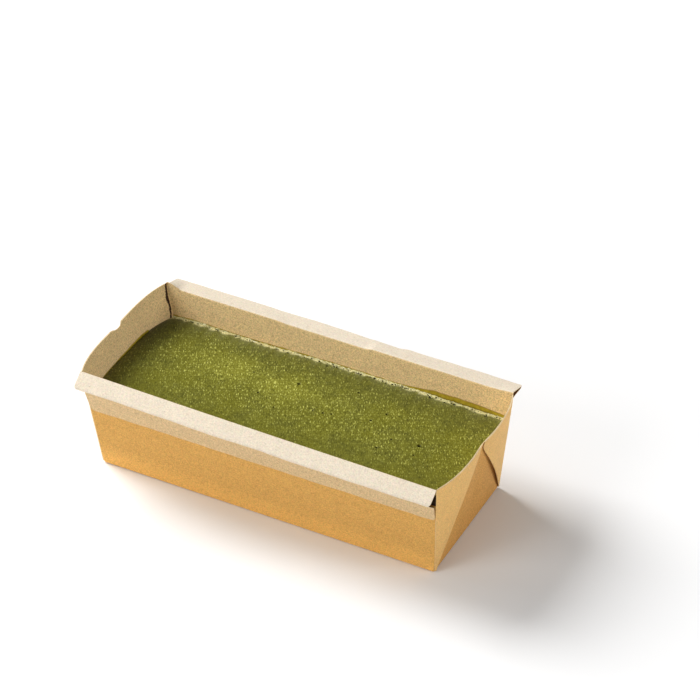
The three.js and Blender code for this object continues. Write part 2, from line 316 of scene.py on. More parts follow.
def make_camera():
    data = bpy.data.cameras.new("camera")
    data.lens = CAMERA_LENS
    data.sensor_width = 36
    data.clip_start = 0.01
    data.clip_end = 50
    camera = bpy.data.objects.new("camera", data)
    bpy.context.scene.collection.objects.link(camera)
    turn = Matrix.Rotation(math.radians(CAMERA_AZIMUTH), 4, "Z")
    tilt = Matrix.Rotation(math.radians(90 - CAMERA_ELEVATION), 4, "X")
    roll = Matrix.Rotation(math.radians(CAMERA_ROLL), 4, "Z")
    camera.matrix_world = Matrix.Translation(CAMERA_PLACE) @ turn @ tilt @ roll
    bpy.context.scene.camera = camera


# ------ numbers and meshes


def lerp(a, b, t):
    return a + (b - a) * t


def smoothstep(low, high, value):
    t = np.clip((value - low) / (high - low), 0, 1)
    return t * t * (3 - 2 * t)


def bell(value):
    """One at 0, falling smoothly away on both sides."""
    return np.exp(-(value**2))


def between(pairs, place):
    """The value at a place, from pairs of a place and a value in millimetres."""
    return np.interp(place / MM, *zip(*pairs)) * MM


def lattice_values(cells, seed):
    """A repeatable random number from -1 to 1 for every integer cell."""
    mixed = cells[..., 0] * 73856093 ^ cells[..., 1] * 19349663 ^ cells[..., 2] * 83492791
    mixed = (mixed + seed * 2654435761) & 0xFFFFFFFF
    for shift in (16, 13, 16):
        mixed = ((mixed ^ (mixed >> shift)) * 0x45D9F3B) & 0xFFFFFFFF
    return mixed / 0x7FFFFFFF - 1


def noise(points, size, seed):
    """Smooth noise from -1 to 1 at each point, with waves about twice size long."""
    scaled = points / size
    cells = np.floor(scaled).astype(np.int64)
    inside = scaled - cells
    blend = inside * inside * (3 - 2 * inside)
    total = np.zeros(points.shape[:-1])
    for step in itertools.product((0, 1), repeat=3):
        weight = np.prod(np.where(step, blend, 1 - blend), axis=-1)
        total += weight * lattice_values(cells + np.array(step), seed)
    return total


def waves(points, *kinds, reseed=0):
    """The sum at each point of waves, each given by its size, its height and its seed."""
    return sum(noise(points, size, seed + reseed) * height for size, height, seed in kinds)


def at_height(x, y, z):
    """Points at the given places in plan, all at one height."""
    return np.stack([x, y, np.full_like(x, z)], axis=-1)


def grid_faces(rows, columns, closed=False):
    """Quads that join a grid of points, given row by row, closed across its columns or not."""
    faces = []
    last = columns if closed else columns - 1
    for i in range(rows - 1):
        for j in range(last):
            a = i * columns + j
            b = i * columns + (j + 1) % columns
            faces.append((a, b, b + columns, a + columns))
    return faces


def grid_rim(rows, columns):
    """The numbers of the points round a grid's rim, in order."""
    rim = list(range(columns))
    rim += [i * columns + columns - 1 for i in range(1, rows)]
    rim += [(rows - 1) * columns + i for i in range(columns - 2, -1, -1)]
    rim += [i * columns for i in range(rows - 2, 0, -1)]
    return rim


def band_faces(above, below):
    """Quads between two closed rings, each a list of its points' numbers."""
    return list(zip(above, below, below[1:] + below[:1], above[1:] + above[:1]))


def new_piece(name, points, faces, materials, face_materials=None, sharp_angle=40):
    """A smooth-shaded mesh object that rides on the part's one body."""
    mesh = bpy.data.meshes.new(name)
    mesh.from_pydata([tuple(p) for p in points], [], faces)
    for material in materials:
        mesh.materials.append(material)
    if face_materials is not None:
        mesh.polygons.foreach_set("material_index", face_materials)
    mesh.polygons.foreach_set("use_smooth", [True] * len(mesh.polygons))
    mesh.update()
    mesh.set_sharp_from_angle(angle=math.radians(sharp_angle))
    piece = bpy.data.objects.new(name, mesh)
    bpy.context.scene.collection.objects.link(piece)
    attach(piece, "root")
    return piece


def add_layer(piece, name, values):
    """A named value at each of a piece's points, for its material to read."""
    layer = piece.data.attributes.new(name, "FLOAT", "POINT")
    layer.data.foreach_set("value", values)


def grid_normals(grid):
    """The unit normal of a grid of points at each point."""
    down = np.gradient(grid, axis=0)
    across = np.gradient(grid, axis=1)
    normals = np.cross(down, across)
    return normals / np.linalg.norm(normals, axis=-1, keepdims=True)


def sheet_piece(name, grid, thickness, materials, outward, front_rows=None, back_rows=None):
    """A curved sheet about a grid of points on its middle surface.

    The first three materials are those of the side that faces along outward, of the other
    side and of the cut edges. front_rows and back_rows give each row of the outward side and
    of the other side its own material.
    """
    normals = grid_normals(grid)
    if np.mean(np.sum(normals * outward, axis=-1)) < 0:
        grid = grid[:, ::-1]
        normals = -normals[:, ::-1]
    rows, columns = grid.shape[:2]
    size = rows * columns
    front = (grid + normals * thickness / 2).reshape(-1, 3)
    back = (grid - normals * thickness / 2).reshape(-1, 3)
    front_faces = grid_faces(rows, columns)
    back_faces = [tuple(i + size for i in face[::-1]) for face in front_faces]
    rim = grid_rim(rows, columns)
    edge_faces = band_faces(rim, [i + size for i in rim])
    front_slots = np.repeat(front_rows or [0] * (rows - 1), columns - 1)
    back_slots = np.repeat(back_rows or [1] * (rows - 1), columns - 1)
    slots = [*front_slots, *back_slots] + [2] * len(edge_faces)
    faces = front_faces + back_faces + edge_faces
    return new_piece(name, np.concatenate([front, back]), faces, materials, slots)


# ------ the case's form

# How a side is divided: its middle steps, its fine steps by each corner, and the fraction of
# the side that the fine ones take.
WALL_STEPS = (120, 6, 0.02)
END_STEPS = (60, 12, 0.04)
CORNER_STEPS = 6
# A long wall's last fraction, and the height above the base, over which its lip grows.
LIP_SPAN = 0.01
LIP_RISE = 5 * MM
# The rows of points up the case: the bottom, the top and the count of each stretch.
TRAY_ROWS = ((1.2 * MM, 46 * MM, 46), (46.6 * MM, CASE_HEIGHT, 8))
TRAY_PAPERS = ("outside", "inside", "edge", "fold", "hollow_shade", "panel")
# Painted shade: the dark paper colour that stands for the shade inside each long wall's fold.
FOLD_SHADE_PAPERS = {"front": "fold", "back": "hollow_shade"}


def corner(name, z):
    """The x and y of one of the case's upright corners at a height."""
    rim_x, rim_y = RIM_CORNERS[name]
    rise = z / CASE_HEIGHT
    x = lerp(math.copysign(BASE_LENGTH / 2, rim_x), rim_x, rise)
    y = lerp(math.copysign(BASE_WIDTH / 2, rim_y), rim_y, rise)
    return x, y


def end_point(end, t, z):
    """A point of an end panel's outside: t runs from 0 at the front to 1 at the back."""
    front_x, front_y = corner("front_" + end, z)
    back_x, back_y = corner("back_" + end, z)
    belly = END_BOW[end] * (1 - np.abs(2 * t - 1) ** END_BOW_SHARPNESS)
    belly = belly - END_HOLLOW[end] * bell((t - 0.5) * BASE_WIDTH / END_HOLLOW_REACH)
    x = lerp(front_x, back_x, t) + OUTWARDS[end] * belly * z / CASE_HEIGHT
    return x, lerp(front_y, back_y, t)


def wall_point(wall, t, z):
    """A point of a long wall's outside: t runs from 0 at the left to 1 at the right."""
    left_x, left_y = corner(wall + "_left", z)
    right_x, right_y = corner(wall + "_right", z)
    bow = LONG_WALL_BOW * np.sin(np.pi * t) * z / CASE_HEIGHT
    return lerp(left_x, right_x, t), lerp(left_y, right_y, t) + OUTWARDS[wall] * bow


def notch(x, y):
    """How much lower the left end's top edge is at a place across it."""
    ramp = smoothstep(*NOTCH_RAMP, y) * (1 - smoothstep(*NOTCH_STEP, y))
    return np.where(x < -BASE_LENGTH / 2, NOTCH_DEPTH * ramp, 0)


def rim_rise(x, y):
    """How much higher the rim is at the left end's back corner and on its way there."""
    along_end = np.clip((y - RISE_ALONG_END[0]) / (RISE_ALONG_END[1] - RISE_ALONG_END[0]), 0, 1)
    return RISE_HEIGHT * along_end * (1 - smoothstep(*RISE_ALONG_WALL, x))


def arc_between(start, bend, stop, steps):
    """Points of a rounded bend, without its two ends."""
    points = []
    for i in range(1, steps):
        t = i / steps
        points.append(lerp(lerp(start, bend, t), lerp(bend, stop, t), t))
    return points


def side_steps(count, fine, span):
    """Fractions along a side, closer together near its two corners."""
    close = np.linspace(0, span, fine, endpoint=False)
    middle = np.linspace(span, 1 - span, count)
    return np.concatenate([close, middle, 1 - close[::-1]])


def case_ring(z, lip):
    """The case's outline at a height, anticlockwise from its front left corner.

    lip is how far the long walls reach past the end panels, over the gussets' thickness.
    """
    wall_margin = CREASE_RADIUS / BASE_LENGTH
    end_margin = CREASE_RADIUS / BASE_WIDTH
    wall_steps = lerp(wall_margin, 1 - wall_margin, side_steps(*WALL_STEPS))
    end_steps = lerp(end_margin, 1 - end_margin, side_steps(*END_STEPS))
    sides = []
    for wall, end, forwards in (("front", "right", True), ("back", "left", False)):
        steps = wall_steps if forwards else 1 - wall_steps
        x, y = wall_point(wall, steps, z)
        x = x + lip * smoothstep(1 - LIP_SPAN, 1 - wall_margin, steps)
        x = x - lip * (1 - smoothstep(wall_margin, LIP_SPAN, steps))
        sides.append(np.stack([x, y], axis=-1))
        x, y = end_point(end, end_steps if forwards else 1 - end_steps, z)
        sides.append(np.stack([x, y], axis=-1))
    names = ("front_right", "back_right", "back_left", "front_left")
    ring = []
    for name, side, following in zip(names, sides, sides[1:] + sides[:1]):
        x, y = corner(name, z)
        bend = np.array([x + math.copysign(lip, x), y])
        ring += [side, np.array(arc_between(side[-1], bend, following[0], CORNER_STEPS))]
    return np.concatenate(ring)


def inward(ring):
    """The unit direction inwards at each point of a closed anticlockwise ring."""
    along = np.roll(ring, -1, axis=0) - np.roll(ring, 1, axis=0)
    along /= np.linalg.norm(along, axis=-1, keepdims=True)
    return np.stack([-along[:, 1], along[:, 0]], axis=-1)


def buckle(points):
    """How far the paper stands out of its true form: slow waves and a fine crumple, none
    of it at the base fold and little at the rim."""
    rise = points[..., 2] / CASE_HEIGHT
    free = np.clip(rise / BUCKLE_FOOT, 0, 1)
    free = free * np.clip(BUCKLE_FADE * (1 - rise) + BUCKLE_AT_RIM, 0, 1)
    return waves(points, *PAPER_BUCKLES, PAPER_CRUMPLE) * free


def slit(ring, z):
    """How far the inside corners are drawn out into the folds behind them."""
    depth = np.zeros(len(ring))
    opening = float(smoothstep(0, SLIT_OPEN, z))
    for name in RIM_CORNERS:
        x, y = corner(name, z)
        from_wall = (y - math.copysign(PAPER, y) - ring[:, 1]) * math.copysign(1, y)
        at_end = ring[:, 0] * math.copysign(1, x) > abs(x) - SLIT_NEAR[0]
        near = at_end & (from_wall > ON_WALL) & (from_wall < SLIT_NEAR[1])
        width = SLIT_WIDTH[name] * (1 + waves(np.array([x, 0, z]), SLIT_WAVES))
        cut = SLIT_DEPTH * np.clip(1 - from_wall / width, 0, 1) * opening
        depth = np.where(near, cut, depth)
    return depth


def lean_in(ring, z):
    """The x of a ring's points, with the paper inside the back left corner leaned away from
    the rim's corner further down."""
    corner_x, corner_y = corner("back_left", z)
    lean = CORNER_LEAN * float(smoothstep(0, CORNER_LEAN_DEPTH, CASE_HEIGHT - z))
    from_wall = corner_y - PAPER - ring[:, 1]
    at_end = (ring[:, 0] < 0) & (from_wall > ON_WALL)
    along_end = lean * (1 - smoothstep(0, CORNER_LEAN_REACH, from_wall))
    x = np.where(at_end, ring[:, 0] + along_end, np.maximum(ring[:, 0], corner_x + PAPER + lean))
    return np.where(ring[:, 1] > 0, x, ring[:, 0])


def wall_y(wall, x, z):
    """The y of a long wall's outside at a place along it."""
    left_x, right_x = corner(wall + "_left", z)[0], corner(wall + "_right", z)[0]
    return wall_point(wall, (x - left_x) / (right_x - left_x), z)[1]


def on_long_wall(ring, z):
    """Which of a ring's points at a height lie on the long walls."""
    gaps = [np.abs(ring[:, 1] - wall_y(wall, ring[:, 0], z)) for wall in CUFFS]
    return np.minimum(*gaps) < CREASE_RADIUS


def paper_ring(z, lip, tuck):
    """A ring of the case's buckled paper, tucked in from the outline."""
    ring = case_ring(z, lip)
    out = buckle(at_height(*ring.T, z))[:, None]
    return ring + inward(ring) * (tuck - out)


def follow_rim(ring):
    """Moves a ring's points up or down with the rim: its rise, its notch, its unevenness and
    the long walls' ends under their folds."""
    x, y, z = ring.T
    under_fold = np.abs(x) < np.abs(y) * WALL_TOP_SPAN
    uneven = waves(ring * (1, 1, 0), RIM_WAVES)
    lowered = np.where(under_fold, WALL_TOP_GAP, notch(x, y) - uneven)
    ring[:, 2] += smoothstep(RIM_ZONE, 1, z / CASE_HEIGHT) * (rim_rise(x, y) - lowered)


def tray_skins():
    """The rings of the case's outside and of its inside, from the bottom up."""
    heights = np.concatenate([np.linspace(*rows) for rows in TRAY_ROWS])
    outside = []
    for z, tuck in [*BASE_FOLD, *((z, 0) for z in heights)]:
        lip = GUSSET_THICKNESS * float(smoothstep(0, LIP_RISE, z))
        outside.append(at_height(*paper_ring(z, lip, tuck).T, z))
    inside = []
    for z in (PAPER, *heights):
        ring = paper_ring(z, 0, PAPER)
        cut = slit(ring, z)
        ring[:, 0] = lean_in(ring, z) + np.sign(ring[:, 0]) * cut
        inside.append(at_height(*ring.T, z))
    for ring in outside + inside:
        follow_rim(ring)
    return outside, inside


def tray_parts(outside, inside):
    """The paper that each of the tray's faces shows, ring by ring."""
    top_ring = case_ring(CASE_HEIGHT, 0)
    covered = on_long_wall(top_ring, CASE_HEIGHT)
    parts = []
    for ring in outside[:-1]:
        down = CASE_HEIGHT - ring[0, 2]
        for y, behind_cuff in zip(top_ring[:, 1], covered):
            wall = "back" if y > 0 else "front"
            # Painted shade: the outside behind a cuff, down to its heel, takes that wall's dark
            # fold colour.
            shaded = FOLD_SHADE_PAPERS[wall] if down < CUFFS[wall]["heel"][1] else "outside"
            parts.append(shaded if behind_cuff else "panel")
    parts += ["edge"] * len(top_ring)
    for ring in inside[-2::-1]:
        # Painted shade: the faces of the corner slits take the dark fold colour.
        parts += ["fold" if depth > 0 else "inside" for depth in slit(top_ring, ring[0, 2])]
    return parts + ["outside", "inside"]


def make_tray(papers):
    """Bottom, long walls and end panels: two skins a paper's thickness apart."""
    outside, inside = tray_skins()
    count = len(outside[0])
    points = np.concatenate(outside + inside[::-1])
    faces = grid_faces(len(outside) + len(inside), count, closed=True)
    faces.append(tuple(range(count))[::-1])
    faces.append(tuple(range(len(points) - count, len(points))))
    slots = [TRAY_PAPERS.index(part) for part in tray_parts(outside, inside)]
    materials = [papers[part] for part in TRAY_PAPERS]
    piece = new_piece("case_tray", points, faces, materials, slots)
    return piece


# ------ cuffs

# How far round a cuff's section each bend is, counted from its foot inside the wall.
CREST, EDGE, HEEL, HEM = range(1, 5)
CUFF_STEP = 0.5 * MM
CUFF_BEND_STEPS = 7
CUFF_COLUMNS = 300
# The strip, painted pale for the sheen on the cuff's top, starts just inside the crest, the
# heel's rise ends part way down the flap, and the hem is uneven over the section's last part.
STRIP_START = 0.95
PINCH_END = 3.6
HEM_START = 0.8


def straight_line(start, stop):
    """Points of a straight stretch, without its last one."""
    count = max(2, int(np.linalg.norm(stop - start) / CUFF_STEP))
    return [lerp(start, stop, i / count) for i in range(count)]


def cuff_section(size, hem):
    """The points of a cuff's section, outwards and down, with rounded bends, and how far round
    each one is."""
    stops = [
        np.array([CUFF_FOOT_SINK - PAPER / 2, CUFF_FOOT]),
        np.array([-PAPER / 2 - CUFF_CREST_STANDS_IN, PAPER / 2]),
        np.array(size["edge"]),
        np.array(size["heel"]),
        np.array([PAPER / 2 - CUFF_HEM_TUCK, hem]),
    ]
    section = []
    start = stops[0]
    for before, bend, after in zip(stops, stops[1:], stops[2:]):
        enter = lerp(bend, before, FOLD_RADIUS / np.linalg.norm(bend - before))
        leave = lerp(bend, after, FOLD_RADIUS / np.linalg.norm(bend - after))
        section += straight_line(start, enter) + [enter]
        section += arc_between(enter, bend, leave, CUFF_BEND_STEPS)
        start = leave
    section = np.array(section + straight_line(start, stops[-1]) + [stops[-1]])
    walked = np.cumsum(np.linalg.norm(np.diff(section, axis=0, prepend=section[:1]), axis=1))
    marks = np.cumsum([0] + [np.linalg.norm(b - a) for a, b in zip(stops, stops[1:])])
    return section, np.interp(walked / walked[-1], marks / marks[-1], range(len(stops)))


def cuff_grid(wall):
    """A cuff's middle surface, from inside the wall's top round to the hem, and its section."""
    size = CUFFS[wall]
    mean_hem = sum(size["hem"]) / 2
    section, rounds = cuff_section(size, mean_hem)
    t = np.linspace(0, 1, CUFF_COLUMNS)
    stretch = lerp(*size["hem"], t) - mean_hem
    grid = np.zeros((len(section), len(t), 3))
    for row, ((out, down), way) in enumerate(zip(section, rounds)):
        z = CASE_HEIGHT - down - max(0, way - HEEL) * stretch
        x, y = wall_point(wall, t, z)
        at_crest = np.interp(way, (CREST, EDGE), (1, 0))
        at_edge = np.interp(way, (CREST, EDGE, HEEL), (0, 1, 0))
        at_heel = np.interp(way, (EDGE, HEEL, PINCH_END), (0, 1, 0))
        z = z + at_crest * (between(size["crest"], x) + rim_rise(x, y))
        z = z + at_heel * between(size["pinch"], x)
        out = out + at_edge * between(size["flare"], x)
        if way < CREST:
            bound = min(1, 5 * (CREST - way))
            out = out + bound * buckle(at_height(x, y, CASE_HEIGHT - down))
        from_corner = min(abs(way - EDGE) * size["edge"][0], (HEM - way) * CUFF_FLAP_LENGTH)
        near = min(1, from_corner / CUFF_CORNER_RADIUS)
        trim = CUFF_CORNER_RADIUS * (1 - math.sqrt(1 - (1 - near) ** 2))
        left, right = (
            np.interp(way, (CREST, EDGE, HEEL, HEM), size[end]) for end in ("left_end", "right_end")
        )
        x = x + lerp(trim - left, right - trim, t)
        grid[row] = np.stack([x, y + OUTWARDS[wall] * out, z], axis=-1)
    return grid, section, rounds


def make_cuff(wall, papers):
    """A long wall's folded top, with the small unevenness of a fold made by hand."""
    grid, section, rounds = cuff_grid(wall)
    outwards = OUTWARDS[wall]
    along = grid * (1, 0, 0)
    reach = section[:, 0] / CUFFS[wall]["edge"][0]
    loose = np.clip(reach, 0, 1)[:, None]
    grid[..., 1] += outwards * waves(along, *CUFF_SWAY, reseed=outwards) * loose
    grid[..., 2] += waves(along, CUFF_LIFT, reseed=outwards) * loose
    crumple = waves(grid, CUFF_CRUMPLE)
    grid[..., 1] += outwards * crumple
    grid[..., 2] += crumple
    at_hem = smoothstep(HEM_START, 1, np.linspace(0, 1, len(section)))[:, None]
    grid[..., 2] += waves(along, HEM_WAVES, reseed=outwards) * at_hem
    direction = np.zeros_like(grid)
    direction[reach > 0.5] = (0, outwards, 0.2)
    ways = rounds[:-1]
    # The outward side: the strip is painted pale for the sheen on the cuff's top, and the flap is
    # painted darker for the shade under the strip.
    shown = ["inside" if way < STRIP_START else "strip" if way < EDGE else "flap" for way in ways]
    # Painted shade: the cuff's underside within its fold takes the wall's dark fold colour.
    hidden = [FOLD_SHADE_PAPERS[wall] if CREST < way < HEEL else "outside" for way in ways]
    parts = ("inside", "outside", "edge", "strip", "flap", FOLD_SHADE_PAPERS[wall])
    piece = sheet_piece(
        "cuff_" + wall,
        grid,
        PAPER,
        [papers[part] for part in parts],
        direction,
        [parts.index(part) for part in shown],
        [parts.index(part) for part in hidden],
    )
    return piece


# ------ gusset flaps

GUSSET_GRID = (100, 52)
# How strongly a gusset's columns crowd towards its folded edge, and how its puff leans there.
GUSSET_CROWDING = 1.6
PUFF_LEAN = 1.3
# The stretch of a half wave by which a gusset swells from its bottom to its top.
SWELL_SPAN = (0.1, 0.97)
# Above this fraction of the height a gusset thins out, and it's at least this full at its edge.
GUSSET_THIN_FROM = 0.9
GUSSET_EDGE_FULLNESS = 0.05


def make_gusset(name, papers):
    """A triangular flap of two layers, folded over the outside of an end panel."""
    place, end = name.split("_")
    edge_lift, puff = GUSSET_LIFT[name]
    rows, columns = GUSSET_GRID
    z = np.linspace(*GUSSET_SPAN, rows)[:, None]
    rise = z / CASE_HEIGHT
    width = np.interp(rise, *zip(*GUSSET_EDGES[name]))
    across = 1 - (1 - np.linspace(0, 1, columns)[None, :]) ** GUSSET_CROWDING
    t = lerp(GUSSET_START / BASE_WIDTH, width, across)
    x, y = end_point(end, t if place == "front" else 1 - t, z)
    swell = np.sin(np.pi * lerp(*SWELL_SPAN, rise))
    lift = (edge_lift * across**2 + puff * np.sin(np.pi * across**PUFF_LEAN)) * swell
    grid = np.stack([x, y, np.broadcast_to(z, x.shape)], axis=-1)
    relief = waves(grid, GUSSET_WAVES, PAPER_CRUMPLE) * across * swell
    full = lerp(GUSSET_THICKNESS, GUSSET_RIM_THICKNESS, smoothstep(GUSSET_THIN_FROM, 1, rise))
    to_edge = (1 - across) * width * BASE_WIDTH
    bend = np.clip(to_edge / (GUSSET_THICKNESS / 2), GUSSET_EDGE_FULLNESS, 1)
    thickness = full * np.sqrt(1 - (1 - bend) ** 2)
    grid[..., 0] += OUTWARDS[end] * (full / 2 + lift + relief)
    grid[..., 2] += (rim_rise(x, y) - notch(x, y)) * smoothstep(RIM_ZONE, 1, rise)
    piece = sheet_piece(
        "gusset_" + name,
        grid,
        thickness[..., None],
        # The right gussets take the paler paper, which is painted light; the left ones take the
        # panel's.
        [papers["gusset" if end == "right" else "panel"], papers["panel"], papers["edge"]],
        (OUTWARDS[end], 0, 0),
    )
    return piece


# ------ terrine

# About how long and wide the case's inside is at the terrine's top.
TOP_LENGTH = BASE_LENGTH * 1.05
TOP_WIDTH = BASE_WIDTH * 1.1
# The top's fine steps by its edges, its steps elsewhere and how far in the fine ones go.
TOP_STEPS = mm(0.22, 0.42, 2.6)
TERRINE_SIDE_HEIGHTS = (TERRINE_TOP - 2.5 * MM, TERRINE_TOP * 0.5, TERRINE_FLOOR)
# Round a pore the mesh is finer, up to this many radii and this much more.
PORE_FINE_RADII = 1.9
PORE_FINE_MARGIN = 0.2 * MM
# Where a pore's floor ends and its wall starts, and its lip's middle and reach, in radii.
PORE_WALL = (0.7, 1.1)
PORE_LIP_PLACE = (1.45, 0.35)
# The dark spot painted for the shade in the back left corner, and the dark specks along the left
# edge.
CORNER_SHADE = mm(0.5, 1.7)
CORNER_SHADE_STRENGTH = 0.95
SPECK_WAVES = (0.55 * MM, 1, 47)
SPECK_BAND = (0.1, 0.5)
SPECK_REACH = 0.9 * MM
OIL_STEP = 0.6 * MM
OIL_ROWS = 14
# The froth's spread along the wall, how it crowds to the left, and the patches that it keeps to.
FROTH_SPAN = (-82, 83)
FROTH_CROWDING = 1.4
FROTH_PATCHES = (3 * MM, 1, 61)
FROTH_CHANCE = (-0.9, 0.5)
BUBBLE_RINGS = 4
BUBBLE_SIDES = 8


def graded_steps(length, fine, coarse, margin):
    """Fractions across a length, in fine steps near both ends and coarse ones between."""
    close = np.arange(0, margin, fine)
    middle = np.linspace(margin, length - margin, int((length - 2 * margin) / coarse) + 1)
    return np.concatenate([close, middle, (length - close)[::-1]]) / length


def inner_curve(side, t, z, inset):
    """A line in plan along the inside of one of the case's sides, at a height."""
    if side in CUFFS:
        x, y = wall_point(side, t, z)
        out = buckle(at_height(x, y, z)) - inset
        return np.column_stack([x * (1 - inset / BASE_LENGTH * 2), y + OUTWARDS[side] * out])
    x, y = end_point(side, t, z)
    out = buckle(at_height(x, y, z)) - inset
    return np.column_stack([x + OUTWARDS[side] * out, y * (1 - inset / BASE_WIDTH * 2)])


def inside_plan(z, u, v, inset):
    """A grid in plan that follows the case's four inside faces at a height."""
    front, back = (inner_curve(wall, u, z, inset) for wall in ("front", "back"))
    left, right = (inner_curve(end, v, z, inset) for end in ("left", "right"))
    u = u[None, :, None]
    v = v[:, None, None]
    along = lerp(left[:, None], right[:, None], u)
    across = lerp(front[None], back[None], v)
    at_front = lerp((front[0] + left[0]) / 2, (front[-1] + right[0]) / 2, u)
    at_back = lerp((back[0] + left[-1]) / 2, (back[-1] + right[-1]) / 2, u)
    return along + across - lerp(at_front, at_back, v)


def edge_gaps(x, y):
    """How far each place on the terrine's top is from each of the case's four sides."""
    left_x, front_y = corner("front_left", TERRINE_TOP)
    right_x, back_y = corner("back_right", TERRINE_TOP)
    along = np.clip((x - left_x) / (right_x - left_x), 0, 1)
    across = np.clip((y - front_y) / (back_y - front_y), 0, 1)
    return {
        "front": y - wall_point("front", along, TERRINE_TOP)[1] - PAPER,
        "back": wall_point("back", along, TERRINE_TOP)[1] - PAPER - y,
        "left": x - end_point("left", across, TERRINE_TOP)[0] - PAPER,
        "right": end_point("right", across, TERRINE_TOP)[0] - PAPER - x,
    }


def back_face(x):
    """The y of the back wall's inside at the terrine's top."""
    length = 168 * MM
    return wall_point("back", (x + length / 2) / length, TERRINE_TOP)[1] - PAPER


def all_pores():
    """The named pores and the small pits in the froth along the back wall: x, y, radius."""
    pores = [tuple(value * MM for value in pore) for pore in PORES]
    dice = np.random.default_rng(PIT_SEED)
    for _ in range(PIT_COUNT):
        x = dice.uniform(-81, 81) * MM
        gap = (0.7 + abs(dice.normal(0, PIT_GAP))) * MM
        radius = dice.uniform(*PIT_RADIUS) * MM
        pores.append((x, back_face(x) - gap, radius))
    return pores


def edge_level(x, y, gaps):
    """The height of the top without its waves: level, but for its four edges."""
    drop = np.zeros_like(x)
    weight = np.zeros_like(x)
    for side, heights in EDGE_HEIGHTS.items():
        near = np.exp(-np.clip(gaps[side], 0, None) / EDGE_REACH[side])
        drop += near * (TERRINE_TOP - between(heights, x if side in CUFFS else y))
        weight += near
    return TERRINE_TOP - drop / np.clip(weight, 1, None)


def pore_relief(x, y):
    """How far the pores raise or lower the top, and from 0 to 1 what lies inside one."""
    relief = np.zeros_like(x)
    inside = np.zeros_like(x)
    for pore_x, pore_y, radius in all_pores():
        away = np.hypot(x - pore_x, y - pore_y) / radius
        hole = 1 - smoothstep(*PORE_WALL, away)
        lip = bell((away - PORE_LIP_PLACE[0]) / PORE_LIP_PLACE[1])
        relief += radius * (PORE_LIP * lip - PORE_DEPTH * hole)
        inside = np.maximum(inside, hole)
    return relief, inside


def painted_edge_shade(y, gaps):
    """How dark the top is painted along the left end and the back wall, for the shadows they cast
    on it.
    """
    reach = EDGE_SHADE_LEFT * lerp(1, EDGE_SHADE_LEFT_WIDER, smoothstep(*EDGE_SHADE_LEFT_WIDENS, y))
    left = bell(gaps["left"] / reach) * lerp(EDGE_SHADE_LEFT_WEAK, 1, smoothstep(*EDGE_SHADE_LEFT_GROWS, y))
    back = bell((gaps["back"] - EDGE_SHADE_BACK) / EDGE_SHADE_BACK)
    return np.maximum(EDGE_SHADE_STRENGTH["left"] * left, EDGE_SHADE_STRENGTH["back"] * back)


def bubble_and_glint_density(x, y, place):
    """How densely bubbled the top is, which also sets its painted glints and lighter tone."""
    along = (x - FIZZ_AND_GLINT_MIDDLE[0]) / FIZZ_AND_GLINT_REACH[0]
    across = (y - FIZZ_AND_GLINT_MIDDLE[1]) / FIZZ_AND_GLINT_REACH[1]
    fizz_and_glints = FIZZ_AND_GLINT_LEAST + (1 - FIZZ_AND_GLINT_LEAST) * bell(np.hypot(along, across))
    return (fizz_and_glints + waves(place, FIZZ_AND_GLINT_WAVES)) * lerp(CALM_SHARE, 1, smoothstep(*CALM_FRONT, y))


def terrine_top(x, y):
    """The height of the terrine's top at each place, and from 0 to 1 its froth with its painted
    sheen, its pores and the back left corner painted dark for their shade, the painted shade
    along the left and back sides, and how densely bubbled it is, with its painted glints."""
    place = at_height(x, y, 0)
    gaps = edge_gaps(x, y)
    z = edge_level(x, y, gaps) + waves(place, *TOP_WAVES)
    nearest = np.minimum.reduce(list(gaps.values()))
    z += waves(place, RAGGED_WAVES) * np.exp(-nearest / RAGGED_REACH)
    streaks = 1 + waves(place * (1, 0, 0), FOAM_SHEEN_STREAKS)
    reach = lerp(*FOAM_SHEEN_REACH, smoothstep(*FOAM_SHEEN_CHANGE, x)) * streaks
    relief, pores = pore_relief(x, y)
    corner_gap = np.hypot(gaps["left"], gaps["back"])
    # Painted shade: the back left corner is darkened like a pore.
    pores = np.maximum(pores, CORNER_SHADE_STRENGTH * (1 - smoothstep(*CORNER_SHADE, corner_gap)))
    specks = smoothstep(*SPECK_BAND, waves(place, SPECK_WAVES))
    return {
        "z": z + relief,
        # The froth along the back wall, with its painted sheen.
        "foam_and_sheen": np.exp(-gaps["back"] / reach),
        "pores": np.maximum(pores, specks * np.exp(-gaps["left"] / SPECK_REACH)),
        "painted_shade": painted_edge_shade(y, gaps),
        "fizz_and_glints": bubble_and_glint_density(x, y, place),
    }


def refine_near(points, faces, spots):
    """Divides the faces round each spot, so that a small pore keeps its round form."""
    mesh = bmesh.new()
    for x, y in points:
        mesh.verts.new((x, y, 0))
    mesh.verts.ensure_lookup_table()
    mesh.verts.index_update()
    for face in faces:
        mesh.faces.new([mesh.verts[i] for i in face])
    close = np.zeros(len(points), dtype=bool)
    for x, y, radius in spots:
        away = np.hypot(points[:, 0] - x, points[:, 1] - y)
        close |= away < PORE_FINE_RADII * radius + PORE_FINE_MARGIN
    edges = [e for e in mesh.edges if all(close[v.index] for v in e.verts) and not e.is_boundary]
    bmesh.ops.subdivide_edges(mesh, edges=edges, cuts=2, use_grid_fill=True)
    mesh.verts.index_update()
    fine_points = np.array([v.co[:2] for v in mesh.verts])
    fine_faces = [tuple(v.index for v in face.verts) for face in mesh.faces]
    mesh.free()
    return fine_points, fine_faces


